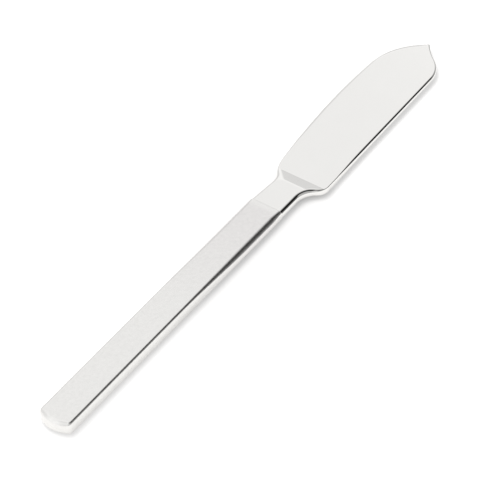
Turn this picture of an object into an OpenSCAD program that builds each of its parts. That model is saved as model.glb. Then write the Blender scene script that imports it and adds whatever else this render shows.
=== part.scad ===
// Table fish knife with a hollow handle.
// The knife lies flat on its handle, butt towards -X, tip towards +X, belly of the blade towards +Y.

/* [Overall] */
// Length from the butt to the tip
overall_length = 210; // [195:1:225]

/* [Handle] */
// Length of the handle from the butt to its mouth
handle_length = 112.3; // [100:0.1:122]
// Width of the handle
handle_w = 11.9; // [11.8:0.1:13.5]
// Thickness of the handle
handle_t = 5; // [4.6:0.1:7]
// Wall of the two half shells
shell_wall = 0.8; // [0.5:0.05:0.9]
// Radius along the edges of the handle
edge_r = 1.2; // [0.8:0.1:1.6]
// Least radius of the edges inside the shells
inside_r = 0.2; // [0.1:0.05:0.4]
// Radius of the curved butt
butt_r = 9; // [8:0.5:16]
// Radius of the two corners of the butt
butt_corner_r = 1.6; // [1.2:0.1:3]
// Length of the ramp down to the mouth
mouth_ramp = 1.5; // [0.8:0.1:4]

/* [Seam] */
// Thickness of the brazing filler between the half shells
seam_t = 0.12; // [0.08:0.01:0.3]

/* [Neck] */
// Width of the neck where it meets the mouth
neck_w = 11.7; // [10.4:0.1:11.7]
// Thickness of the neck where it meets the mouth
neck_t = 3.3; // [3.2:0.1:4.4]
// Thickness of the neck at the shoulder
neck_end_t = 3.2; // [2.8:0.1:3.8]
// Length of the neck from the mouth to the shoulder
neck_length = 12.9; // [10:0.1:16]
// How far the neck closes in on the belly side
neck_taper = 0.8; // [0:0.1:1.4]
// Length of the slope from the neck down to the blade
shoulder_length = 4.3; // [2:0.1:7]
// Distance from the axis to the turned facet of the slope
facet_y = 2.2; // [1:0.1:4]
// Turn of that facet towards the belly, in degrees
facet_turn = 47; // [20:1:60]
// Length of that facet down its own slope
facet_length = 6; // [4:0.1:9]

/* [Blade] */
// Thickness of the blade at its heel
blade_t = 2.2; // [1.5:0.1:2.6]
// Thickness of the blade at its tip
tip_t = 1.6; // [1:0.1:2]
// Distance from the axis to the widest place of the belly
belly_w = 11.6; // [10:0.1:14]
// Radius of the belly
belly_r = 263; // [150:1:400]
// Distance back from the tip to the widest place of the belly
belly_back = 35.5; // [28:0.5:42]
// Distance back from the tip to where the belly starts
belly_length = 76; // [72:0.5:78]
// Radius from the belly into the neck
flare_r = 22; // [15:0.5:26]
// Radius of the hollow between the neck and the belly
flare_throat_r = 10; // [6:0.5:14]
// Distance back from the tip to where the nose starts
nose_length = 19; // [16:0.5:24]
// Drop of the tip below the axis
tip_drop = 0.45; // [0:0.05:2]
// Distance from the axis to the spine at the heel
spine_w = 11.2; // [9:0.1:13]
// How far the spine closes in on the axis
spine_taper = 0.85; // [0:0.05:2]
// Distance from the shoulder to the heel of the spine
heel_length = 6.1; // [4.5:0.1:8]
// Radius of the heel
heel_r = 5.4; // [3:0.1:7]
// Radius of the hollow between the neck and the heel
heel_throat_r = 8; // [5:0.1:9]
// Distance back from the tip to where the bulge starts
bulge_length = 15.2; // [14:0.1:18]
// Radius of the bulge behind the notch
bulge_r = 12; // [9:0.1:14]
// Turn of the bulge from the spine to the notch, in degrees
bulge_turn = 50; // [46:1:56]

/* [Tang] */
// Length of the tang inside the handle
tang_length = 86; // [50:1:95]
// Width of the tang
tang_w = 7; // [5:0.1:8]
// Length of the plug that fills the mouth
plug_length = 5; // [3:0.1:8]
// Clearance between the plug and the mouth
plug_fit = 0.05; // [0.02:0.01:0.1]
// Number of keying notches on each side of the tang
notch_count = 4; // [2:1:5]
// Radius of a keying notch
notch_r = 1.2; // [0.6:0.1:1.6]

/* [Cement] */
// Gap that the cement leaves as it shrinks
cement_gap = 0.05; // [0.02:0.01:0.1]

/* [Hidden] */
$fn = 96;

steel = "#d9dadb";
satin = "#c9cacb";
braze = "#b9b6ad";
cement = "#8d8a82";

// The widest points of the blade lie evenly about Y zero, so the axis of the handle is a little aside.
axis_y = (spine_w - belly_w) / 2;
mid_z = handle_t / 2;
butt_x = -overall_length / 2;
mouth_x = butt_x + handle_length;
shoulder_x = mouth_x + neck_length;
blade_x = shoulder_x + shoulder_length;
// Where the slope of the shoulder is half way down inside the blade
slope_x = shoulder_x + shoulder_length * (neck_end_t - blade_t / 2) / (neck_end_t - blade_t);
tip = [overall_length / 2, -tip_drop];
// Reach of a cutting body past what it cuts
past = 30;
arc_step = 3;
arc_least = 8;

function unit(v) = v / norm(v);
function direction(v) = atan2(v.y, v.x);
function on_circle(c, r, x) = [x, c.y + sqrt(r * r - (x - c.x) * (x - c.x))];
// Centre of a circle of radius r on side n of the line from p along d, touching the circle c, rc
function rolled(p, d, n, r, c, rc) =
    let (q = p + r * n - c, b = q * d, s = -b - sqrt(b * b - q * q + (r + rc) * (r + rc)))
    p + s * d + r * n;
// Radius of a circle that leaves p square to v and passes through q
function radius_through(p, v, q) = (q - p) * (q - p) / (2 * (q - p) * v);
// Points of an arc about c between two directions, without its first point where it goes on from another
function arc(c, r, from, to, first = 0) =
    let (n = max(arc_least, ceil(abs(to - from) / arc_step)))
    [for (k = [first : n]) let (a = from + (to - from) * k / n) c + r * [cos(a), sin(a)]];

// Belly, nose and flare, each arc leaving the last one without a kink
belly_c = [tip.x - belly_back, belly_w - belly_r];
belly_end = on_circle(belly_c, belly_r, tip.x - nose_length);
belly_start = on_circle(belly_c, belly_r, tip.x - belly_length);
nose_r = radius_through(belly_end, unit(belly_c - belly_end), tip);
nose_c = belly_end + nose_r * unit(belly_c - belly_end);
flare_c = belly_start + flare_r * unit(belly_c - belly_start);
neck_belly = [mouth_x, neck_w / 2];
neck_line = unit([neck_length, -neck_taper]);
neck_out = [-neck_line.y, neck_line.x];
flare_throat_c = rolled(neck_belly, neck_line, neck_out, flare_throat_r, flare_c, flare_r);

// Heel, spine, bulge and notch
heel = [shoulder_x + heel_length, -spine_w];
bulge = [tip.x - bulge_length, spine_taper - spine_w];
spine_line = unit(bulge - heel);
spine_in = [-spine_line.y, spine_line.x];
heel_c = heel + heel_r * spine_in;
neck_spine = [mouth_x, -neck_w / 2];
heel_throat_c = rolled(neck_spine, [1, 0], [0, -1], heel_throat_r, heel_c, heel_r);
bulge_c = bulge + bulge_r * spine_in;
spine_turn = direction(spine_line) - 90;
notch_turn = spine_turn + bulge_turn;
notch_out = [cos(notch_turn), sin(notch_turn)];
notch_start = bulge_c + bulge_r * notch_out;
notch_c = notch_start + radius_through(notch_start, notch_out, tip) * notch_out;

blade_outline = concat(
    [neck_spine],
    arc(heel_throat_c, heel_throat_r, 90, direction(heel_c - heel_throat_c)),
    arc(heel_c, heel_r, direction(heel_throat_c - heel_c), spine_turn, 1),
    arc(bulge_c, bulge_r, spine_turn, notch_turn),
    arc(notch_c, norm(tip - notch_c), direction(notch_start - notch_c), direction(tip - notch_c), 1),
    arc(nose_c, nose_r, direction(tip - nose_c), direction(belly_end - nose_c), 1),
    arc(belly_c, belly_r, direction(belly_end - belly_c), direction(belly_start - belly_c), 1),
    arc(flare_c, flare_r, direction(belly_start - flare_c), direction(flare_throat_c - flare_c), 1),
    arc(flare_throat_c, flare_throat_r, direction(flare_c - flare_throat_c), direction(-neck_out), 1),
    [neck_belly]);

// Butt of the handle: a large arc with a small one at each corner
butt_c = butt_x + butt_r;
corner_y = handle_w / 2 - butt_corner_r;
corner_x = butt_c - sqrt(pow(butt_r - butt_corner_r, 2) - corner_y * corner_y);
corner_turn = direction([corner_x - butt_c, corner_y]);

// The mouth leaves the shells their wall round the plug.
plug_w = neck_w - 2 * shell_wall - 2 * plug_fit;
plug_t = neck_t - 2 * shell_wall - 2 * plug_fit;
notch_pitch = (tang_length - plug_length) / (notch_count + 1);

// Places a shape drawn about the axis of the knife, with its middle plane at Z zero
module on_axis() {
    translate([0, axis_y, mid_z]) children();
}

// Side view points extruded across the whole width
module from_side(points) {
    rotate([90, 0, 0]) linear_extrude(2 * past, center = true) polygon(points);
}

// Closed profile from half thicknesses listed as [x, half] from one end to the other
module from_halves(halves) {
    last = len(halves) - 1;
    lower = [for (k = [0 : last]) [halves[k].x, -halves[k].y]];
    upper = [for (k = [0 : last]) halves[last - k]];
    from_side(concat(lower, upper));
}

module rounded_section(w, t, r) {
    square([w - 2 * r, t], center = true);
    square([w, t - 2 * r], center = true);
    for (sy = [-1, 1], sz = [-1, 1]) translate([sy * (w / 2 - r), sz * (t / 2 - r)]) circle(r);
}

// Outside of the handle, drawn in by inset and run on past the mouth by extra
module handle_form(inset = 0, extra = 0) {
    w = handle_w - 2 * inset;
    t = handle_t - 2 * inset;
    r = max(edge_r - inset, inside_r);
    ramp_x = mouth_x - mouth_ramp;
    mouth_half_w = neck_w / 2 - inset;
    mouth_half_t = neck_t / 2 - inset;
    length = handle_length + extra;
    intersection() {
        // Long bar with rounded edges
        translate([butt_x, 0, 0]) rotate([90, 0, 90]) linear_extrude(length) rounded_section(w, t, r);
        // Plan with the corners of the butt and the taper to the mouth
        linear_extrude(2 * past, center = true) polygon(concat(
            arc([butt_c, 0], butt_r - inset, 360 - corner_turn, corner_turn, 1),
            arc([corner_x, corner_y], butt_corner_r - inset, corner_turn, 90, 1),
            [[ramp_x, w / 2], [mouth_x, mouth_half_w], [mouth_x + extra, mouth_half_w]],
            [[mouth_x + extra, -mouth_half_w], [mouth_x, -mouth_half_w], [ramp_x, -w / 2]],
            arc([corner_x, -corner_y], butt_corner_r - inset, 270, 360 - corner_turn)));
        // Side view with the ramp down to the mouth
        from_halves([
            [butt_x, t / 2],
            [ramp_x, t / 2],
            [mouth_x, mouth_half_t],
            [mouth_x + extra, mouth_half_t]]);
        // Rounded rim along the curved butt
        union() {
            translate([butt_c, 0, 0]) rotate_extrude() intersection() {
                rounded_section(2 * (butt_r - inset), t, r);
                translate([0, -past]) square(2 * past);
            }
            translate([butt_c, -w, -past]) cube([2 * handle_length, 2 * w, 2 * past]);
        }
    }
}

module handle_walls() {
    difference() {
        handle_form();
        handle_form(inset = shell_wall, extra = plug_length);
    }
}

module half_shell(side) {
    gap = seam_t / 2;
    low = side > 0 ? gap : -past - gap;
    color(satin) on_axis() intersection() {
        handle_walls();
        translate([butt_x - past, -past, low]) cube([overall_length + past, 2 * past, past]);
    }
}

module handle_shell_upper() {
    half_shell(1);
}

module handle_shell_lower() {
    half_shell(-1);
}

module seam_braze() {
    color(braze) on_axis() intersection() {
        handle_walls();
        translate([butt_x - past, -past, -seam_t / 2]) cube([overall_length + past, 2 * past, seam_t]);
    }
}

// Plug and tang, drawn larger all round by grow and run on into the neck
module tang(grow = 0) {
    plug_x = mouth_x - plug_length;
    end_x = mouth_x - tang_length;
    root = plug_length + neck_length / 2;
    linear_extrude(plug_t + 2 * grow, center = true) difference() {
        union() {
            translate([plug_x - grow, -plug_w / 2 - grow]) square([root + grow, plug_w + 2 * grow]);
            translate([end_x + tang_w / 2, -tang_w / 2 - grow])
                square([tang_length - tang_w, tang_w + 2 * grow]);
            translate([end_x + tang_w / 2, 0]) circle(tang_w / 2 + grow);
        }
        for (k = [1 : notch_count], side = [-1, 1])
            translate([plug_x - k * notch_pitch, side * tang_w / 2]) circle(notch_r - grow);
    }
}

// Half thickness of the thin blade at x, carried back under the shoulder
function plate_half(x) = (blade_t + (tip_t - blade_t) * (x - blade_x) / (tip.x - blade_x)) / 2;

module blade_plan() {
    linear_extrude(2 * past, center = true) polygon(blade_outline);
}

// The slope turns towards the belly at its end, on both faces of the neck.
module shoulder_facets() {
    slope = atan((neck_end_t - blade_t) / 2 / facet_length);
    for (side = [0, 1]) mirror([0, 0, side])
        translate([shoulder_x, facet_y, neck_end_t / 2]) rotate([0, 0, facet_turn]) rotate([0, slope, 0])
            translate([0, -past, 0]) cube([past, 2 * past, past]);
}

// Both faces of the blade and the neck, with the slope of the shoulder run down inside the blade
module blade_faces() {
    from_halves([[shoulder_x, plate_half(shoulder_x)], [tip.x, tip_t / 2]]);
    difference() {
        from_halves([[mouth_x, neck_t / 2], [shoulder_x, neck_end_t / 2], [slope_x, blade_t / 4]]);
        shoulder_facets();
    }
}

module blade() {
    color(steel) on_axis() {
        intersection() {
            blade_plan();
            blade_faces();
        }
        tang();
    }
}

module handle_cement() {
    color(cement) on_axis() difference() {
        handle_form(inset = shell_wall + cement_gap);
        tang(grow = cement_gap);
    }
}

blade();
handle_shell_upper();
handle_shell_lower();
seam_braze();
handle_cement();
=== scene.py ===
# %% [markdown]
# # A table fish knife, dressed for its picture
# The knife comes from CAD as five exact solids: a blade with its tang, two half shells, a thin line
# of braze and the cement inside. They have the right sizes, but the edges of the blade are sharp. On
# a real knife every edge has been ground and polished round, and on bright steel it is these edges
# that draw the dark and light lines. So the pieces that show are modelled again here with round
# edges, inside the box of the solids.

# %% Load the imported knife
from math import ceil, cos, degrees, pi, radians, sin, sqrt

import bmesh
import bpy
from mathutils import Matrix, Vector


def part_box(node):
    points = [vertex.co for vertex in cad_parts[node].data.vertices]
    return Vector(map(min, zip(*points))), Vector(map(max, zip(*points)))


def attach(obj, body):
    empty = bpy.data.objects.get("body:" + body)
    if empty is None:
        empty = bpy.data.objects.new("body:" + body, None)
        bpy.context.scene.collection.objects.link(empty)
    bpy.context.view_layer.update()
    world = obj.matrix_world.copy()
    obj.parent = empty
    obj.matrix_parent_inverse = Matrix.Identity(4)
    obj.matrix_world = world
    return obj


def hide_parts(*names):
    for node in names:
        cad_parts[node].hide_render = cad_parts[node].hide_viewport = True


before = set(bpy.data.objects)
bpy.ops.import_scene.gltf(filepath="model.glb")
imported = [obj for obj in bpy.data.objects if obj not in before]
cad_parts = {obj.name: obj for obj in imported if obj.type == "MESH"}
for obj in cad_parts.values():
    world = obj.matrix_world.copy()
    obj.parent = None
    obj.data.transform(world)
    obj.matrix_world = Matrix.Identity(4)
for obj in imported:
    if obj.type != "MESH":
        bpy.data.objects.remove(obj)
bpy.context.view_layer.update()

# %% [markdown]
# ## Sizes
# The frame is in metres. Cutlery is easier to think about in millimetres, so each piece is drawn in
# millimetres about the axis of the handle, with its middle plane at height zero, and is brought to
# its place once, at the end. The ends of the knife and the section of the handle are measured from
# the boxes of the solids. The other sizes here repeat those of the solids, apart from the neck. It
# is a little wider here, because its round edges make it look narrower.

# %% Sizes in millimetres
MM = 0.001


def in_mm(corner):
    return Vector(corner) / MM


shell_low = in_mm(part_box("handle_shell_lower")[0])
shell_high = in_mm(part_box("handle_shell_upper")[1])
axis = (shell_low + shell_high) / 2
axis.x = 0
butt_x, mouth_x = shell_low.x, shell_high.x
handle_w, handle_t = shell_high.y - shell_low.y, shell_high.z - shell_low.z
tip_x = in_mm(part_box("blade")[1]).x
neck_w, neck_t, neck_end_t, neck_length, neck_taper = 12.1, 3.3, 3.2, 12.9, 1.0
shoulder_length, blade_t, tip_t = 4.3, 2.2, 1.6
shoulder_x = mouth_x + neck_length
blade_x = shoulder_x + shoulder_length
print(f"handle {butt_x:.1f} to {mouth_x:.1f}, {handle_w:.1f} by {handle_t:.1f}")
print(f"tip at {tip_x:.1f}, axis at {axis.y:.2f}")

# %% [markdown]
# ## A pen for outlines
# An outline of lines and arcs could be a curve object, but a mesh chain is simpler to carry on with.
# One vertex is the pen. Extruding it draws a line, and spinning it about a centre draws an arc. Spin
# makes as many points as it is asked for, so a short step keeps the arcs round in the reflections.

# %% Draw lines and arcs
ARC_STEP, FEWEST_STEPS = 2.5, 6


def draw_line(bm, pen, to):
    made = bmesh.ops.extrude_vert_indiv(bm, verts=[pen])["verts"][0]
    made.co = (to[0], to[1], 0)
    return made


def draw_arc(bm, pen, centre, turn):
    made = bmesh.ops.spin(
        bm, geom=[pen], cent=(centre[0], centre[1], 0), axis=(0, 0, 1), dvec=(0, 0, 0),
        angle=radians(turn), steps=max(FEWEST_STEPS, ceil(abs(turn) / ARC_STEP)), use_merge=False,
        use_normal_flip=False, use_duplicate=False)["geom_last"]
    return next(v for v in made if isinstance(v, bmesh.types.BMVert))


def along(start):
    """The vertices of an open chain, in order from its first one."""
    chain, last = [start], None
    while True:
        here = chain[-1]
        ahead = [e.other_vert(here) for e in here.link_edges if e.other_vert(here) is not last]
        if not ahead:
            return chain
        chain.append(ahead[0])
        last = here


print("points in a quarter turn:", ceil(90 / ARC_STEP))

# %% [markdown]
# ## The outline of the blade
# A fish knife has a broad blunt blade that lifts the flesh from the bones. Its belly swells on one
# side, its back is nearly straight, and a small notch behind the tip is for picking out bones. Each
# arc leaves the last one without a kink. The centres follow from that, so only the radii and a few
# places are written down.

# %% Centres on the belly side
belly_w, belly_r, belly_back, belly_length, nose_length = 11.6, 263, 35.5, 76, 19
flare_r, flare_throat_r, tip_y = 22, 10, -0.45
tip = Vector((tip_x, tip_y))
belly_c = Vector((tip.x - belly_back, belly_w - belly_r))


def on_belly(x):
    return Vector((x, belly_c.y + sqrt(belly_r ** 2 - (x - belly_c.x) ** 2)))


def radius_through(p, v, q):
    """Radius of the circle through p and q that has its centre in the direction v from p."""
    return (q - p).dot(q - p) / (2 * (q - p).dot(v))


def rolled(p, d, n, r, centre, radius):
    """Centre of a circle of radius r that rolls along a line and stops against another circle."""
    q = p + r * n - centre
    b = q.dot(d)
    return p + (-b - sqrt(b * b - q.dot(q) + (r + radius) ** 2)) * d + r * n


belly_end, belly_start = on_belly(tip.x - nose_length), on_belly(tip.x - belly_length)
nose_in = (belly_c - belly_end).normalized()
nose_c = belly_end + radius_through(belly_end, nose_in, tip) * nose_in
flare_c = belly_start + flare_r * (belly_c - belly_start).normalized()
neck_line = Vector((neck_length, -neck_taper)).normalized()
neck_out = Vector((-neck_line.y, neck_line.x))
neck_belly = Vector((mouth_x, neck_w / 2))
flare_throat_c = rolled(neck_belly, neck_line, neck_out, flare_throat_r, flare_c, flare_r)
print(f"belly radius {belly_r} mm, nose radius {(tip - nose_c).length:.1f} mm")

# %% Centres on the spine side
spine_w, spine_taper, heel_length, heel_r, heel_throat_r = 11.2, 0.85, 6.1, 5.4, 8.0
bulge_length, bulge_r, bulge_turn = 15.2, 12, 50


def bearing(v):
    """Angle of a direction from +X, in degrees."""
    return -degrees(Vector((1, 0)).angle_signed(v))


neck_spine = Vector((mouth_x, -neck_w / 2))
heel = Vector((shoulder_x + heel_length, -spine_w))
bulge = Vector((tip.x - bulge_length, spine_taper - spine_w))
spine_line = (bulge - heel).normalized()
spine_in = Vector((-spine_line.y, spine_line.x))
heel_c = heel + heel_r * spine_in
heel_throat_c = rolled(neck_spine, Vector((1, 0)), Vector((0, -1)), heel_throat_r, heel_c, heel_r)
bulge_c = bulge + bulge_r * spine_in
notch_way = radians(bearing(-spine_in) + bulge_turn)
notch_out = Vector((cos(notch_way), sin(notch_way)))
notch_start = bulge_c + bulge_r * notch_out
notch_c = notch_start + radius_through(notch_start, notch_out, tip) * notch_out
print(f"heel at {heel.x:.1f} mm, notch radius {(tip - notch_c).length:.1f} mm")

# %% [markdown]
# ## Drawing the blade
# The pen starts where the spine side leaves the handle and ends where the belly side comes back to
# it. The spine is straight, so two points would do for its shape. It gets more, because the radius
# of its edge changes on the way and is worked out at the points alone.

# %% Draw the blade
SPINE_STEPS = 16


def turn_about(centre, start, end):
    """Angle of the arc about a centre between two points, the short way round."""
    return (bearing(end - centre) - bearing(start - centre) + 180) % 360 - 180


def draw_arcs(bm, pen, *arcs):
    for centre, start, end in arcs:
        pen = draw_arc(bm, pen, centre, turn_about(centre, start, end))
    return pen


def draw_blade(bm):
    throat_start = Vector((heel_throat_c.x, neck_spine.y))
    heel_touch = heel_c + heel_r * (heel_throat_c - heel_c).normalized()
    flare_touch = flare_c + flare_r * (flare_throat_c - flare_c).normalized()
    throat_end = flare_throat_c - flare_throat_r * neck_out
    first = bm.verts.new((*neck_spine, 0))
    pen = draw_line(bm, first, throat_start)
    pen = draw_arcs(bm, pen, (heel_throat_c, throat_start, heel_touch), (heel_c, heel_touch, heel))
    for k in range(1, SPINE_STEPS + 1):
        pen = draw_line(bm, pen, heel + (bulge - heel) * k / SPINE_STEPS)
    pen = draw_arcs(
        bm, pen, (bulge_c, bulge, notch_start), (notch_c, notch_start, tip), (nose_c, tip, belly_end),
        (belly_c, belly_end, belly_start), (flare_c, belly_start, flare_touch),
        (flare_throat_c, flare_touch, throat_end))
    draw_line(bm, pen, neck_belly)
    return along(first)


trial = bmesh.new()
trial_chain = draw_blade(trial)
print(f"blade outline: {len(trial_chain)} points, ends at {trial_chain[-1].co[:2]}")
trial.free()

# %% [markdown]
# ## Rounding an edge by rings
# A Bevel modifier would round the edges too, but here the radius changes along the edge: it is large
# on the neck, where fingers rest, and small on the blade. The edge may also be wider than it is high,
# as on the belly, which is ground flatter. So the edge is built as rings. Each ring is an extrusion
# of the one before, drawn in a little from the outline. How far a ring lies below the top is only
# noted in a vertex layer for now. The height is added later, when the top has its slopes, so the same
# rings serve for a flat handle and for a shouldered neck.

# %% Directions and notes for the rings


def edge_ways(chain):
    """Direction at each point that keeps the distance to both edges beside it."""
    ways = []
    for k in range(len(chain)):
        sides = []
        for a, b in ((k - 1, k), (k, k + 1)):
            if a >= 0 and b < len(chain):
                d = (chain[b].co - chain[a].co).normalized()
                sides.append(Vector((-d.y, d.x, 0)))
        if len(sides) == 1:
            ways.append(Vector((0, 1 if sides[0].y > 0 else -1, 0)))
        else:
            ways.append((sides[0] + sides[1]) / (1 + sides[0].dot(sides[1])))
    return ways


def new_form():
    """An empty mesh with its layers. A layer that is added later makes vertices held by then invalid."""
    bm = bmesh.new()
    for name in ("base", "way"):
        bm.verts.layers.float_vector.new(name)
    for name in ("radius", "spread", "drop", "up"):
        bm.verts.layers.float.new(name)
    return bm


trial = new_form()
print("notes at a point:", trial.verts.layers.float_vector.keys() + trial.verts.layers.float.keys())
trial.free()

# %% Rings from the side to the top
RING_COUNT = 9
GUARD = 0.06
LEAST_R = 0.2


def rounded_skin(bm, chain, radius_at, spread_at=lambda p: 1.0, inset=0.0):
    """Adds the rings from the middle of the side to the flat top, and its face, all at height zero."""
    base, way = (bm.verts.layers.float_vector[name] for name in ("base", "way"))
    radius, spread, drop, up = (bm.verts.layers.float[name] for name in ("radius", "spread", "drop", "up"))
    for v, w in zip(chain, edge_ways(chain)):
        v.co += inset * w
        v[base], v[way] = v.co, w
        v[radius], v[spread] = max(radius_at(v.co) - inset, LEAST_R), spread_at(v.co)
    ring = [next(e for e in a.link_edges if e.other_vert(a) is b) for a, b in zip(chain, chain[1:])]
    for k in range(RING_COUNT + 2):
        made = bmesh.ops.extrude_edge_only(bm, edges=ring)["geom"]
        verts = [g for g in made if isinstance(g, bmesh.types.BMVert)]
        held = set(verts)
        ring = list({e for v in verts for e in v.link_edges if e.other_vert(v) in held})
        a = pi / 2 * min(k / RING_COUNT, 1)
        # The last ring lies a little further in and keeps the shading of the top flat.
        further = GUARD if k > RING_COUNT else 0
        for v in verts:
            v.co = v[base] + (v[radius] * v[spread] * (1 - cos(a)) + further) * v[way]
            v[drop], v[up] = v[radius] * (1 - sin(a)), 1.0
    ends = [v for v in verts if sum(e in ring for e in v.link_edges) == 1]
    ring += bmesh.ops.contextual_create(bm, geom=ends)["edges"]
    bmesh.ops.contextual_create(bm, geom=ring)


print("rings:", RING_COUNT + 2)

# %% [markdown]
# ## Slopes on the top
# The neck falls to the thin blade over a slope, and at the belly end of the slope a second facet
# turns away. Each of these faces is a plane, so its height is a simple sum. The lowest of the neck's
# planes counts, and the blade's plane wins where it is higher. A polishing wheel softens the creases
# between them, which a smooth minimum does with one more value: how wide the soft part is.

# %% Planes of the neck and the blade
facet_y, facet_turn, facet_length = 2.2, radians(47), 6.0


class Plane:
    """A height that changes evenly along X and Y."""

    def __init__(self, height, x, y, dx, dy):
        self.dx, self.dy = dx, dy
        self.at_zero = height - dx * x - dy * y

    def height(self, p):
        return self.at_zero + self.dx * p.x + self.dy * p.y

    def crease_with(self, other):
        """A point and a normal of the upright plane where two faces meet, and how sharply they do."""
        across = Vector((self.dx - other.dx, self.dy - other.dy, 0))
        point = across * ((other.at_zero - self.at_zero) / across.length_squared)
        return point, across.normalized(), across.length


facet_fall = (neck_end_t - blade_t) / 2 / facet_length
neck_top = Plane(neck_t / 2, mouth_x, 0, (neck_end_t - neck_t) / 2 / neck_length, 0)
slope_top = Plane(neck_end_t / 2, shoulder_x, 0, (blade_t - neck_end_t) / 2 / shoulder_length, 0)
facet_top = Plane(neck_end_t / 2, shoulder_x, facet_y,
                  -facet_fall * cos(facet_turn), -facet_fall * sin(facet_turn))
plate_top = Plane(blade_t / 2, blade_x, 0, (tip_t - blade_t) / 2 / (tip_x - blade_x), 0)
print(f"the slope falls {-slope_top.dx:.3f} mm in each mm, the facet {facet_fall:.3f}")

# %% Heights of the neck and the blade
crease, hollow = 0.55, 0.15


def soft_lower(a, b, k):
    return min(a, b) - max(k - abs(a - b), 0) ** 2 / (4 * k)


def blade_height(p):
    n, s, f, b = (plane.height(p) for plane in (neck_top, slope_top, facet_top, plate_top))
    raised = soft_lower(n, s, crease * neck_top.crease_with(slope_top)[2])
    raised = soft_lower(raised, f, crease * facet_fall)
    return -soft_lower(-raised, -b, hollow * slope_top.crease_with(plate_top)[2])


mouth_height, tip_height = blade_height(Vector((mouth_x, 0))), blade_height(tip)
print(f"half thickness at the mouth {mouth_height:.2f}, at the tip {tip_height:.2f}")

# %% [markdown]
# ## Cutting the top where it bends
# A face can only bend where it has edges. bisect_plane cuts every face that it is given along an
# upright plane, and the layers made above are mixed into the new vertices by themselves. A few cuts
# close together across each crease are enough, with one more on each side so that the flats next to
# it stay flat in the shading. The cuts are shares of half the crease's width.

# %% Cut along the creases and raise the top
CUTS = (-1.2, -1.0, -0.6, -0.2, 0.2, 0.6, 1.0, 1.2)
TOUCHING = 1e-5


def cut(bm, point, normal, keep=lambda p: True):
    faces = [f for f in bm.faces if keep(f.calc_center_bounds())]
    parts = {g for f in faces for g in (*f.verts, *f.edges, f)}
    bmesh.ops.bisect_plane(bm, geom=list(parts), dist=TOUCHING, plane_co=point, plane_no=normal,
                           use_snap_center=False, clear_outer=False, clear_inner=False)


def raise_top(bm, height_at, seam=0.0, fall=0.0):
    """Lifts the rings and the top to their heights, and the rim to half the seam."""
    drop, up = bm.verts.layers.float["drop"], bm.verts.layers.float["up"]
    for v in bm.verts:
        v.co.z = v[up] * (height_at(v.co) - fall - v[drop]) + (1 - v[up]) * seam / 2


print("cuts across a crease:", len(CUTS))

# %% [markdown]
# ## Finishing a piece
# Every piece ends in the same way. Its normals are made to point outwards, faces that meet in a true
# corner get a sharp edge and all the others shade smoothly. It is moved to the axis of the knife and
# scaled to metres in its mesh, so that the object itself stays at the origin.

# %% Bring a piece to its place
SHARP = radians(38)


def finish_piece(bm, name, material, node):
    bmesh.ops.remove_doubles(bm, verts=bm.verts[:], dist=TOUCHING)
    bmesh.ops.recalc_face_normals(bm, faces=bm.faces[:])
    for face in bm.faces:
        face.smooth = True
    for edge in bm.edges:
        edge.smooth = edge.calc_face_angle(0) < SHARP
    bmesh.ops.translate(bm, verts=bm.verts[:], vec=axis)
    bmesh.ops.scale(bm, verts=bm.verts[:], vec=(MM, MM, MM))
    mesh = bpy.data.meshes.new(name)
    bm.to_mesh(mesh)
    open_edges = sum(not e.is_manifold for e in bm.edges)
    bm.free()
    piece = bpy.data.objects.new(name, mesh)
    bpy.context.collection.objects.link(piece)
    mesh.materials.append(material)
    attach(piece, "root")
    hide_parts(node)
    print(f"{name}: {len(mesh.polygons)} faces, {open_edges} open edges")
    return piece


print(f"edges of more than {degrees(SHARP):.0f} degrees stay sharp")

# %% [markdown]
# ## Materials
# All of the steel is one stainless alloy. What differs is how its surface was made: the blade is
# buffed to a mirror, the handle is blasted with fine beads. Both keep the default IOR, because a
# metal's colour is its reflection. The small unevenness of each finish comes from noise in object
# coordinates, which are metres here, so 1 / size as the scale sets the size of a grain.

# %% A node helper and colours


def add(tree, kind, inputs=None, **settings):
    """Adds a node, sets it up and links or fills its inputs."""
    made = tree.nodes.new(kind)
    for key, value in settings.items():
        setattr(made, key, value)
    for key, value in (inputs or {}).items():
        if isinstance(value, bpy.types.NodeSocket):
            tree.links.new(value, made.inputs[key])
        else:
            made.inputs[key].default_value = value
    return made


def colour(code):
    """Linear colour with alpha from an sRGB hex code."""
    parts = [int(code[k:k + 2], 16) / 255 for k in (1, 3, 5)]
    return (*[c / 12.92 if c <= 0.04045 else ((c + 0.055) / 1.055) ** 2.4 for c in parts], 1.0)


def new_material(name):
    material = bpy.data.materials.new(name)
    material.use_nodes = True
    tree = material.node_tree
    where = add(tree, "ShaderNodeTexCoord").outputs["Object"]
    return material, tree, tree.nodes["Principled BSDF"], where


print("white is", colour("#ffffff")[:3])

# %% [markdown]
# ## Uneven finishes
# No finish is quite even. Noise wanders mostly between 0.3 and 0.7, so that range is spread over the
# two tones and the two roughnesses of a finish. The differences are small enough to be felt more
# than seen.

# %% Grain, tone and roughness
NOISE_LOW, NOISE_HIGH = 0.3, 0.7


def grain(tree, where, size, stretch=(1, 1, 1), detail=2.0):
    """Noise with grains of a size in millimetres, drawn out along an axis by a small stretch there."""
    mapped = add(tree, "ShaderNodeMapping", {"Vector": where, "Scale": stretch}).outputs[0]
    noise = {"Vector": mapped, "Scale": 1 / (size * MM), "Detail": detail}
    return add(tree, "ShaderNodeTexNoise", noise).outputs["Fac"]


def mottled(tree, grains, dark, light):
    """A colour that goes from one tone to another with the grains."""
    share = add(tree, "ShaderNodeMapRange", {"Value": grains, "From Min": NOISE_LOW, "From Max": NOISE_HIGH})
    tones = {"Factor": share.outputs[0], "A": colour(dark), "B": colour(light)}
    return add(tree, "ShaderNodeMix", tones, data_type="RGBA").outputs["Result"]


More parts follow.
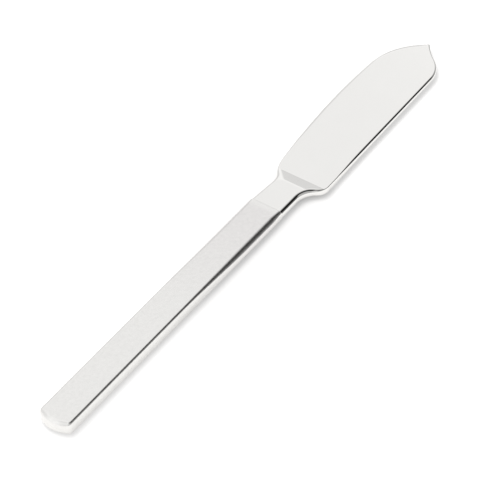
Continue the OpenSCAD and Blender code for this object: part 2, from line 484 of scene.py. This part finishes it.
def finish_surface(tree, shader, tone, grains, smooth, rough):
    """Gives the shader its tone and a roughness that follows the grains."""
    haze = add(tree, "ShaderNodeMapRange", {"Value": grains, "From Min": NOISE_LOW, "From Max": NOISE_HIGH,
                                            "To Min": smooth, "To Max": rough})
    tree.links.new(tone, shader.inputs["Base Color"])
    tree.links.new(haze.outputs[0], shader.inputs["Roughness"])


print(f"noise from {NOISE_LOW} to {NOISE_HIGH} is spread over a finish")

# %% [markdown]
# ## Mirror-polished steel
# Buffing leaves a mirror with the faintest haze and some very fine lines across the blade, where the
# wheel ran. A low roughness that wanders a little gives the haze. The lines are noise drawn out
# across the knife, as a bump of two micrometres at a twentieth of its strength, so they only show
# where light grazes. Real lines are finer. These are as coarse as they need to be to show at all.

# %% Polished steel
polished, tree, shader, where = new_material("stainless steel, buffed to a mirror")
haze = grain(tree, where, 9.0)
lines = grain(tree, where, 0.4, stretch=(1, 0.04, 1))
shader.inputs["Metallic"].default_value = 1.0
finish_surface(tree, shader, mottled(tree, haze, "#eeedeb", "#efeeec"), haze, 0.05, 0.075)
bump = add(tree, "ShaderNodeBump", {"Height": lines, "Strength": 0.05, "Distance": 0.002 * MM})
tree.links.new(bump.outputs[0], shader.inputs["Normal"])
print("made", polished.name)

# %% [markdown]
# ## Satin steel
# Bead blasting dents the steel evenly in all directions, so the handle has no grain line. The dents
# are a tenth of a millimetre or so, and are drawn twice as large here so that some of them show. The
# others only spread the reflection, which is what roughness stands for. A second, coarser noise gives
# the slight mottling. Towards the front the colour is a shade darker, a painted shade for the darker
# reflections there. Its lip, beside the polished neck, is rubbed as bright as the blade.

# %% Satin steel
satin, tree, shader, where = new_material("stainless steel, fine bead blasted")
front_shade_from, front_shade_to, lip_from, lip_to = -45, -3, 3.5, 6.8
dents = grain(tree, where, 0.22, detail=3.0)
mottle = grain(tree, where, 1.1, detail=3.0)
shader.inputs["Metallic"].default_value = 1.0
place = add(tree, "ShaderNodeSeparateXYZ", {0: where}).outputs["X"]
# Painted shade: the handle's colour darkens from the middle towards the front.
held = add(tree, "ShaderNodeMapRange", {"Value": place, "From Min": front_shade_from * MM, "From Max": front_shade_to * MM})
lip = add(tree, "ShaderNodeMapRange", {"Value": place, "From Min": lip_from * MM, "From Max": lip_to * MM},
          interpolation_type="SMOOTHSTEP")
plain_tones, painted_shade_tones = mottled(tree, mottle, "#eae9e7", "#f0efed"), mottled(tree, mottle, "#e5e3e2", "#ebe9e8")
front_shaded = add(tree, "ShaderNodeMix", {"Factor": held.outputs[0], "A": plain_tones, "B": painted_shade_tones}, data_type="RGBA")
rubbed = add(tree, "ShaderNodeMix", {"Factor": lip.outputs[0], "A": front_shaded.outputs["Result"],
                                     "B": colour("#efeeec")}, data_type="RGBA")
finish_surface(tree, shader, rubbed.outputs["Result"], mottle, 0.23, 0.27)
bump = add(tree, "ShaderNodeBump", {"Height": dents, "Strength": 0.25, "Distance": 0.01 * MM})
tree.links.new(bump.outputs[0], shader.inputs["Normal"])
print("made", satin.name)

# %% [markdown]
# ## Braze and cement
# The braze is a silver alloy, ground flush and blasted with the handle, so it is nearly the same grey
# with a little warmth. The cement is cast and never seen, but whoever opens the handle in another
# scene will see a dull, grainy mass.

# %% Braze
braze, tree, shader, where = new_material("silver braze, ground flush")
flow = grain(tree, where, 0.8)
shader.inputs["Metallic"].default_value = 1.0
finish_surface(tree, shader, mottled(tree, flow, "#e2e0dc", "#e9e8e5"), flow, 0.24, 0.3)
print("made", braze.name)

# %% Cement
cement, tree, shader, where = new_material("resin cement, cast")
sand = grain(tree, where, 0.6, detail=4.0)
finish_surface(tree, shader, mottled(tree, sand, "#7f7b72", "#9a968c"), sand, 0.75, 0.92)
bump = add(tree, "ShaderNodeBump", {"Height": sand, "Strength": 0.4, "Distance": 0.2 * MM})
tree.links.new(bump.outputs[0], shader.inputs["Normal"])
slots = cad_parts["handle_cement"].data.materials
slots.clear()
slots.append(cement)
print("made", cement.name)

# %% [markdown]
# ## The edges of the blade
# A knife's edges are not alike. The neck is well rounded, the heel is nearly sharp, and along the
# spine the edge grows fuller again towards the tip. The belly is ground at a slant, so its edge is
# wider than it is high. Each of these is a soft change from one value to the next along the knife.

# %% Radius and spread along the blade
neck_r, heel_edge_r, spine_r, tip_r = 1.35, 0.22, 0.78, 0.7
neck_ends, spine_grows, spine_grown = heel.x - 1, heel.x + 2, heel.x + 19
belly_spread, belly_low, belly_high, belly_grows = 2.0, -0.4, 3.0, 30.0


def blend(low, high, x):
    t = min(max((x - low) / (high - low), 0), 1)
    return t * t * (3 - 2 * t)


def blade_radius(p):
    thin = heel_edge_r + (spine_r - heel_edge_r) * blend(spine_grows, spine_grown, p.x)
    thin += (tip_r - spine_r) * blend(spine_grown, tip_x, p.x)
    return neck_r + (thin - neck_r) * blend(shoulder_x, neck_ends, p.x)


def blade_spread(p):
    """How much wider than high the edge is."""
    on_belly_side = blend(belly_low, belly_high, p.y) * blend(heel.x, heel.x + belly_grows, p.x)
    return 1 + (belly_spread - 1) * on_belly_side


print(f"edge radius at the neck {blade_radius(neck_spine):.2f}, at the heel {blade_radius(heel):.2f}")

# %% [markdown]
# ## The blade
# Now the outline, the rings and the slopes come together. Only one half of the thickness is
# modelled. A mirror copy gives the other, and the two meet in the middle of the sides. The back end,
# where the neck meets the handle, is closed by one face.

# %% Model the neck and the blade
bend_before, bend_after = 7, 8
bm = new_form()
rounded_skin(bm, draw_blade(bm), blade_radius, blade_spread)
near, far = shoulder_x - bend_before, blade_x + bend_after
for x in (near, far):
    cut(bm, (x, 0, 0), (1, 0, 0))
for a, b, width in (
        (neck_top, slope_top, crease), (neck_top, facet_top, crease), (slope_top, facet_top, crease),
        (slope_top, plate_top, hollow), (facet_top, plate_top, hollow)):
    point, across, _ = a.crease_with(b)
    for share in CUTS:
        cut(bm, point + share * width * across, across, lambda p: near < p.x < far)
raise_top(bm, blade_height)
bmesh.ops.mirror(bm, geom=bm.verts[:] + bm.edges[:] + bm.faces[:], matrix=Matrix.Identity(4),
                 merge_dist=TOUCHING, axis="Z")
bmesh.ops.contextual_create(bm, geom=[e for e in bm.edges if e.is_boundary])
print("blade:", len(bm.faces), "faces before the tang")

# %% [markdown]
# ## The tang
# The tang is a flat bar inside the handle, with round notches that key into the cement, and a wider
# plug that fills the mouth. It doesn't show, but the blade would be no use without it. The same pen
# draws it, each notch as half a turn the other way, and extruding its face makes it solid.

# %% Draw the tang
tang_length, tang_w, plug_length, plug_fit, notch_count, notch_r = 86, 7, 5, 0.05, 4, 1.2
shell_wall = 0.8
plug_half = neck_w / 2 - shell_wall - plug_fit
plug_t = neck_t - 2 * shell_wall - 2 * plug_fit
plug_x, end_c = mouth_x - plug_length, mouth_x - tang_length + tang_w / 2
pitch = (tang_length - plug_length) / (notch_count + 1)


def draw_tang(bm):
    first = pen = bm.verts.new((mouth_x, plug_half, 0))
    for point in ((plug_x, plug_half), (plug_x, tang_w / 2)):
        pen = draw_line(bm, pen, point)
    for k in range(1, notch_count + 1):
        x = plug_x - k * pitch
        pen = draw_arc(bm, draw_line(bm, pen, (x + notch_r, tang_w / 2)), (x, tang_w / 2), -180)
    pen = draw_arc(bm, draw_line(bm, pen, (end_c, tang_w / 2)), (end_c, 0), 180)
    for k in range(notch_count, 0, -1):
        x = plug_x - k * pitch
        pen = draw_arc(bm, draw_line(bm, pen, (x - notch_r, -tang_w / 2)), (x, -tang_w / 2), -180)
    for point in ((plug_x, -tang_w / 2), (plug_x, -plug_half), (mouth_x, -plug_half)):
        pen = draw_line(bm, pen, point)
    return along(first)


print(f"tang: {notch_count} notches on each side, {pitch:.1f} mm apart")

# %% Model the tang and finish the blade


def thicken(bm, faces, t):
    """Makes flat faces solid, half of the thickness on each side of height zero."""
    raised = bmesh.ops.extrude_face_region(bm, geom=faces)["geom"]
    bmesh.ops.translate(bm, verts=[g for g in raised if isinstance(g, bmesh.types.BMVert)], vec=(0, 0, t))
    bmesh.ops.translate(bm, verts=bm.verts[:], vec=(0, 0, -t / 2))


def take_in(bm, other):
    """Adds another form to a form and frees the other one."""
    passing = bpy.data.meshes.new("passing")
    other.to_mesh(passing)
    other.free()
    bm.from_mesh(passing)
    bpy.data.meshes.remove(passing)


bar = bmesh.new()
thicken(bar, bmesh.ops.contextual_create(bar, geom=draw_tang(bar))["faces"], plug_t)
take_in(bm, bar)
blade = finish_piece(bm, "polished_blade", polished, "blade")

# %% [markdown]
# ## The outline of the handle
# The handle is a slim bar with a gently curved butt. It isn't quite even: it is slimmest at the butt,
# swells before the mouth, and then closes to the neck. The sides need points only where they bend,
# which is along the swell and close to the mouth.

# %% Draw the handle
butt_r, butt_corner_r, butt_slim, mouth_swell = 9.0, 1.6, 0.25, 0.35
swell_x, swell_length, SWELL_STEPS = -46.0, 36.0, 9
close_length, CLOSE_STEPS, lip_end, LIP_STEPS = 5.0, 16, 0.35, 6
butt_half, mouth_half = handle_w / 2 - butt_slim, handle_w / 2 + mouth_swell
corner_y = butt_half - butt_corner_r
butt_c = Vector((butt_x + butt_r, 0))
corner_c = Vector((butt_c.x - sqrt((butt_r - butt_corner_r) ** 2 - corner_y ** 2), corner_y))
SWELL_PLACES = [swell_x + swell_length * k / SWELL_STEPS for k in range(SWELL_STEPS + 1)]
MOUTH_PLACES = [mouth_x - close_length * (1 - k / CLOSE_STEPS) for k in range(CLOSE_STEPS - 1)]
MOUTH_PLACES += [mouth_x - lip_end * cos(pi / 2 * k / LIP_STEPS) for k in range(LIP_STEPS + 1)]


def handle_side(x):
    """Half the width of the handle."""
    swollen = butt_half + (mouth_half - butt_half) * blend(swell_x, swell_x + swell_length, x)
    return swollen + (neck_w / 2 - swollen) * blend(mouth_x - close_length, mouth_x, x)


def draw_handle(bm):
    """From the mouth on the belly side round the butt to the mouth on the spine side."""
    side = [(x, handle_side(x)) for x in reversed(SWELL_PLACES + MOUTH_PLACES)]
    first = pen = bm.verts.new((*side[0], 0))
    for point in side[1:] + [(corner_c.x, butt_half)]:
        pen = draw_line(bm, pen, point)
    lean = bearing(corner_c - butt_c) - 90
    pen = draw_arc(bm, pen, corner_c, lean)
    pen = draw_arc(bm, pen, butt_c, 180 - 2 * lean)
    pen = draw_arc(bm, pen, (corner_c.x, -corner_c.y), lean)
    for x, y in reversed(side):
        pen = draw_line(bm, pen, (x, -y))
    return along(first)


print(f"handle: {2 * butt_half:.1f} mm wide at the butt, {2 * mouth_half:.1f} mm before the mouth")

# %% [markdown]
# ## The top and the edges of the handle
# The top is flat, thins a little towards the front, dips at the lip and ends in a small quarter round
# on the neck. The edge is well rounded round the butt end, crisp along the back and softer towards
# the mouth, so the dark line that it mirrors widens from the butt to the neck.

# %% Height and edge radius of the handle
butt_end_r, butt_edge_r, mouth_edge_r, butt_end_length = 1.6, 0.85, 2.0, 0.5
mouth_thin, lip_length, lip_fall = 0.35, 3.4, 0.13


def handle_height(p):
    thinned = handle_t / 2 - mouth_thin * blend(swell_x, swell_x + swell_length, p.x)
    dip = lip_fall * max(p.x - mouth_x + lip_length, 0) ** 2 / lip_length ** 2
    end = min(max(p.x - mouth_x + lip_end, 0) / lip_end, 1)
    return thinned - dip - (thinned - lip_fall - neck_t / 2) * (1 - sqrt(1 - end * end))


def handle_radius(p):
    grown = butt_end_r + (butt_edge_r - butt_end_r) * blend(butt_x + butt_end_length, corner_c.x, p.x)
    grown += (mouth_edge_r - butt_edge_r) * blend(swell_x, swell_x + swell_length, p.x)
    return grown + (neck_r - grown) * blend(mouth_x - close_length, mouth_x, p.x)


print(f"half thickness before the mouth {handle_t / 2 - mouth_thin:.2f}, at the mouth {neck_t / 2:.2f}")

# %% [markdown]
# ## The half shells
# Each shell is pressed from sheet. Its outside is the same kind of rounded skin as the blade's. A
# second skin, drawn in by the wall, is the inside. Their open rims have the same number of points, so
# bridge_loops closes the seam and the mouth between them. The lower shell is its mirror image.

# %% Model the shells
seam_t = 0.12
CUT_STEP, CUT_COUNT = 10, 10


def shell_skin(inset):
    """One skin of the upper shell, drawn in from the outside of the handle."""
    bm = new_form()
    rounded_skin(bm, draw_handle(bm), handle_radius, inset=inset)
    for x in MOUTH_PLACES[:-1] + [butt_x + CUT_STEP * k for k in range(1, CUT_COUNT + 1)]:
        cut(bm, (x, 0, 0), (1, 0, 0))
    raise_top(bm, handle_height, seam_t, inset)
    return bm


def model_shell(side):
    bm = shell_skin(0.0)
    take_in(bm, shell_skin(shell_wall))
    bmesh.ops.bridge_loops(bm, edges=[e for e in bm.edges if e.is_boundary])
    bmesh.ops.scale(bm, verts=bm.verts[:], vec=(1, 1, side))
    return bm


for half, side in (("upper", 1), ("lower", -1)):
    shell = finish_piece(model_shell(side), f"satin_shell_{half}", satin, f"handle_shell_{half}")

# %% [markdown]
# ## The braze in the seam
# When the shells are brazed, the filler runs into the seam and is ground flush outside. What is left
# is a thin ribbon that follows the rim of the shells from one side of the mouth round the butt to the
# other. Two outlines, one drawn in by the wall, are bridged and made as thick as the seam.

# %% Model the braze
bm = bmesh.new()
for inset in (0, shell_wall):
    chain = draw_handle(bm)
    for v, w in zip(chain, edge_ways(chain)):
        v.co += inset * w
bmesh.ops.bridge_loops(bm, edges=bm.edges[:])
thicken(bm, bm.faces[:], seam_t)
seam = finish_piece(bm, "seam_of_braze", braze, "seam_braze")

# %% [markdown]
# ## The table
# Product pictures like this one are taken on a white table that runs out of the frame. The table has
# to be white in the picture and in the steel, yet still take a soft shadow. So for the camera and for
# reflections part of its white is its own light, and the rest is ordinary white paint that a shadow
# can darken. Its own light would shine under the knife as well, where a real table is dark. The
# Ambient Occlusion node tells how much of the sky a point of the table sees within a short reach, and
# the light is dimmed by that. This draws the thin grey line under the sides.

# %% Paint of the table
table_white, tree, shader, where = new_material("white table, matt paint")
shader.inputs["Roughness"].default_value = 0.9
shader.inputs["Specular IOR Level"].default_value = 0.0
paper = grain(tree, where, 20.0)
tree.links.new(mottled(tree, paper, "#a9a8a7", "#acabaa"), shader.inputs["Base Color"])
path = add(tree, "ShaderNodeLightPath")
seen = path.outputs["Is Camera Ray"]
for kind in ("Is Glossy Ray", "Is Transmission Ray"):
    seen = add(tree, "ShaderNodeMath", {0: seen, 1: path.outputs[kind]}, operation="MAXIMUM").outputs[0]
print("made", table_white.name)

# %% [markdown]
# ## The shade under the knife
# The shade isn't the same all along. Beside the neck, which stands clear of the table, the shade is
# painted to spread further, and towards the butt it is painted paler. Both are plain changes along the
# knife, which lies along X.

# %% Own light of the table
TABLE_GLOW, BUTT_GLOW, TIP_GLOW = 0.66, 0.5, 0.22
REACH, NECK_REACH = 2.3 * MM, 7 * MM
# Painted shade: how far the shade reaches and how dark it gets are set by the place along X.
pale_from, pale_to, grows_from, grows_to, shrinks_from, shrinks_to = -100, 20, -60, 5, 10, 30
place = add(tree, "ShaderNodeSeparateXYZ", {0: where}).outputs["X"]
growing, shrinking, covered = (
    add(tree, "ShaderNodeMapRange", {"Value": place, "From Min": start * MM, "From Max": end * MM,
                                     "To Min": first, "To Max": last}).outputs[0]
    for start, end, first, last in (
        (grows_from, grows_to, REACH, NECK_REACH), (shrinks_from, shrinks_to, NECK_REACH, REACH),
        (pale_from, pale_to, BUTT_GLOW, TIP_GLOW)))
reach = add(tree, "ShaderNodeMath", {0: growing, 1: shrinking}, operation="MINIMUM").outputs[0]
open_sky = add(tree, "ShaderNodeAmbientOcclusion", {"Distance": reach}, samples=16).outputs["AO"]
level = add(tree, "ShaderNodeMapRange", {"Value": open_sky, "To Min": covered, "To Max": TABLE_GLOW})
glow = add(tree, "ShaderNodeMath", {0: seen, 1: level.outputs[0]}, operation="MULTIPLY").outputs[0]
shader.inputs["Emission Color"].default_value = (1, 1, 1, 1)
tree.links.new(glow, shader.inputs["Emission Strength"])
print(f"the table glows at {TABLE_GLOW}, and at {TIP_GLOW} to {BUTT_GLOW} where it is covered")

# %% Table
TABLE_HALF = 6
bm = bmesh.new()
bmesh.ops.create_grid(bm, x_segments=1, y_segments=1, size=TABLE_HALF)
mesh = bpy.data.meshes.new("table")
bm.to_mesh(mesh)
bm.free()
mesh.materials.append(table_white)
table = bpy.data.objects.new("table", mesh)
bpy.context.collection.objects.link(table)
print("table", 2 * TABLE_HALF, "metres square")

# %% [markdown]
# ## The studio
# Steel shows its surroundings more than its own colour, so the surroundings are the light here. The
# studio is bright on the belly side. On the spine side it is dark, which the round edges mirror as a
# black line, and it has three parts there: plain grey towards the butt, a narrow dark stretch in the
# middle and a wider one towards the tip. Along the knife there is one brighter strip and a greyer
# part beyond it, which the crest and the slope of the shoulder pick up. Each change is a fade along
# one axis. The camera itself sees plain white beyond the table.

# %% Tones of the studio
ALONG_X = ((-1.0, 1.0), (0.3, 1.0), (0.46, 0.94), (0.6, 0.9), (0.66, 0.92), (0.695, 1.0), (0.715, 0.97),
           (0.75, 0.73), (1.0, 0.6))
BUTT_Y = ((-1.0, 0.5), (-0.6, 0.62), (-0.35, 0.75), (-0.1, 0.9), (0.15, 1.0), (0.55, 1.0), (0.75, 0.9),
          (1.0, 0.75))
LIT_Y = ((-0.22, 0.008), (-0.08, 0.2), (0.06, 0.55), (0.2, 0.85), (0.33, 1.0), (0.5, 1.0), (0.62, 0.88),
         (0.76, 0.77))
MIDDLE_Y = ((-1.0, 0.5), (-0.72, 0.42), (-0.6, 0.3), (-0.5, 0.03), (-0.4, 0.008), *LIT_Y)
TIP_Y = ((-1.0, 0.5), (-0.82, 0.35), (-0.72, 0.1), (-0.62, 0.008), *LIT_Y)
TIP_SIDE = ((-1.0, 0.0), (0.42, 0.0), (0.515, 1.0))
DARK_SIDE = ((-1.0, 0.0), (-0.45, 0.0), (-0.2, 1.0), (0.68, 1.0), (0.8, 0.45), (1.0, 0.25))
BRIGHTEST = 1.08
print("darkest tone of the studio:", min(value for place, value in TIP_Y))

# %% World light
world = bpy.data.worlds.new("soft studio")
bpy.context.scene.world = world
world.use_nodes = True
tree = world.node_tree
tree.nodes.clear()
ways = add(tree, "ShaderNodeSeparateXYZ", {0: add(tree, "ShaderNodeTexCoord").outputs["Generated"]}).outputs


def fade(way, stops):
    """Grey tones placed along one axis of the direction, from -1 to 1."""
    spread = add(tree, "ShaderNodeMapRange", {"Value": way, "From Min": -1.0, "From Max": 1.0})
    ramp = add(tree, "ShaderNodeValToRGB", {"Fac": spread.outputs[0]})
    steps = ramp.color_ramp.elements
    # A new ramp comes with two stops, and the others are added.
    for k, (place, value) in enumerate(stops):
        stop = steps[k] if k < 2 else steps.new(1.0)
        stop.position = (place + 1) / 2
        stop.color = (value, value, value, 1)
    return ramp.outputs["Color"]


ahead = add(tree, "ShaderNodeMix", {"Factor": fade(ways["X"], TIP_SIDE), "A": fade(ways["Y"], MIDDLE_Y),
                                    "B": fade(ways["Y"], TIP_Y)}, data_type="RGBA")
across = add(tree, "ShaderNodeMix", {"Factor": fade(ways["X"], DARK_SIDE), "A": fade(ways["Y"], BUTT_Y),
                                     "B": ahead.outputs["Result"]}, data_type="RGBA")
around = add(tree, "ShaderNodeMix", {"Factor": 1.0, "A": fade(ways["X"], ALONG_X),
                                     "B": across.outputs["Result"]}, data_type="RGBA", blend_type="MULTIPLY")
light = add(tree, "ShaderNodeBackground", {"Color": around.outputs["Result"], "Strength": BRIGHTEST})
white = add(tree, "ShaderNodeBackground", {"Color": (1, 1, 1, 1), "Strength": 1.0})
path = add(tree, "ShaderNodeLightPath")
both = add(tree, "ShaderNodeMixShader",
           {0: path.outputs["Is Camera Ray"], 1: light.outputs[0], 2: white.outputs[0]})
add(tree, "ShaderNodeOutputWorld", {"Surface": both.outputs[0]})
print("world made of", len(tree.nodes), "nodes")

# %% [markdown]
# ## A lamp for the shadow
# The world alone would leave the knife floating. One large soft lamp above the belly side lays the
# short shadow beside the spine. It is kept out of the reflections, because the world already draws
# those.

# %% Lamp
lamp_place, lamp_size, lamp_energy = Vector((-0.05, 0.22, 0.9)), 0.5, 5.0
lamp_data = bpy.data.lights.new("soft lamp", "AREA")
lamp_data.shape, lamp_data.size, lamp_data.energy = "DISK", lamp_size, lamp_energy
lamp = bpy.data.objects.new("soft lamp", lamp_data)
lamp.location = lamp_place
lamp.rotation_euler = (Vector((lamp_place.x, 0, 0)) - lamp_place).to_track_quat("-Z", "Y").to_euler()
lamp.visible_glossy = False
bpy.context.collection.objects.link(lamp)
print("lamp of", lamp_energy, "watts at", lamp_place[:])

# %% [markdown]
# ## The camera
# The picture looks down on the knife at 44 degrees from the side of the butt, so the knife runs
# across the frame from corner to corner. The handle narrows only a little with distance, so the lens
# is long and the camera far away.

# %% Camera
elevation, swing, distance = radians(44), radians(55.49), 874.5
aim_x, aim_y = -6.934, 0.334
FOCAL_PIXELS, PICTURE_PIXELS, SENSOR = 2786, 480, 36.0
target = Vector((aim_x, aim_y + axis.y, 0)) * MM
away = Vector((-sin(swing) * cos(elevation), -cos(swing) * cos(elevation), sin(elevation)))
camera_data = bpy.data.cameras.new("camera")
camera_data.sensor_width = SENSOR
camera_data.lens = SENSOR * FOCAL_PIXELS / PICTURE_PIXELS
camera_data.clip_start, camera_data.clip_end = 0.05, 20
camera = bpy.data.objects.new("camera", camera_data)
camera.location = target + distance * MM * away
camera.rotation_euler = (-away).to_track_quat("-Z", "Y").to_euler()
bpy.context.collection.objects.link(camera)
bpy.context.scene.camera = camera
bpy.context.scene.view_settings.view_transform = "Standard"
print("camera at", [round(n, 4) for n in camera.location], "lens", round(camera_data.lens, 1))
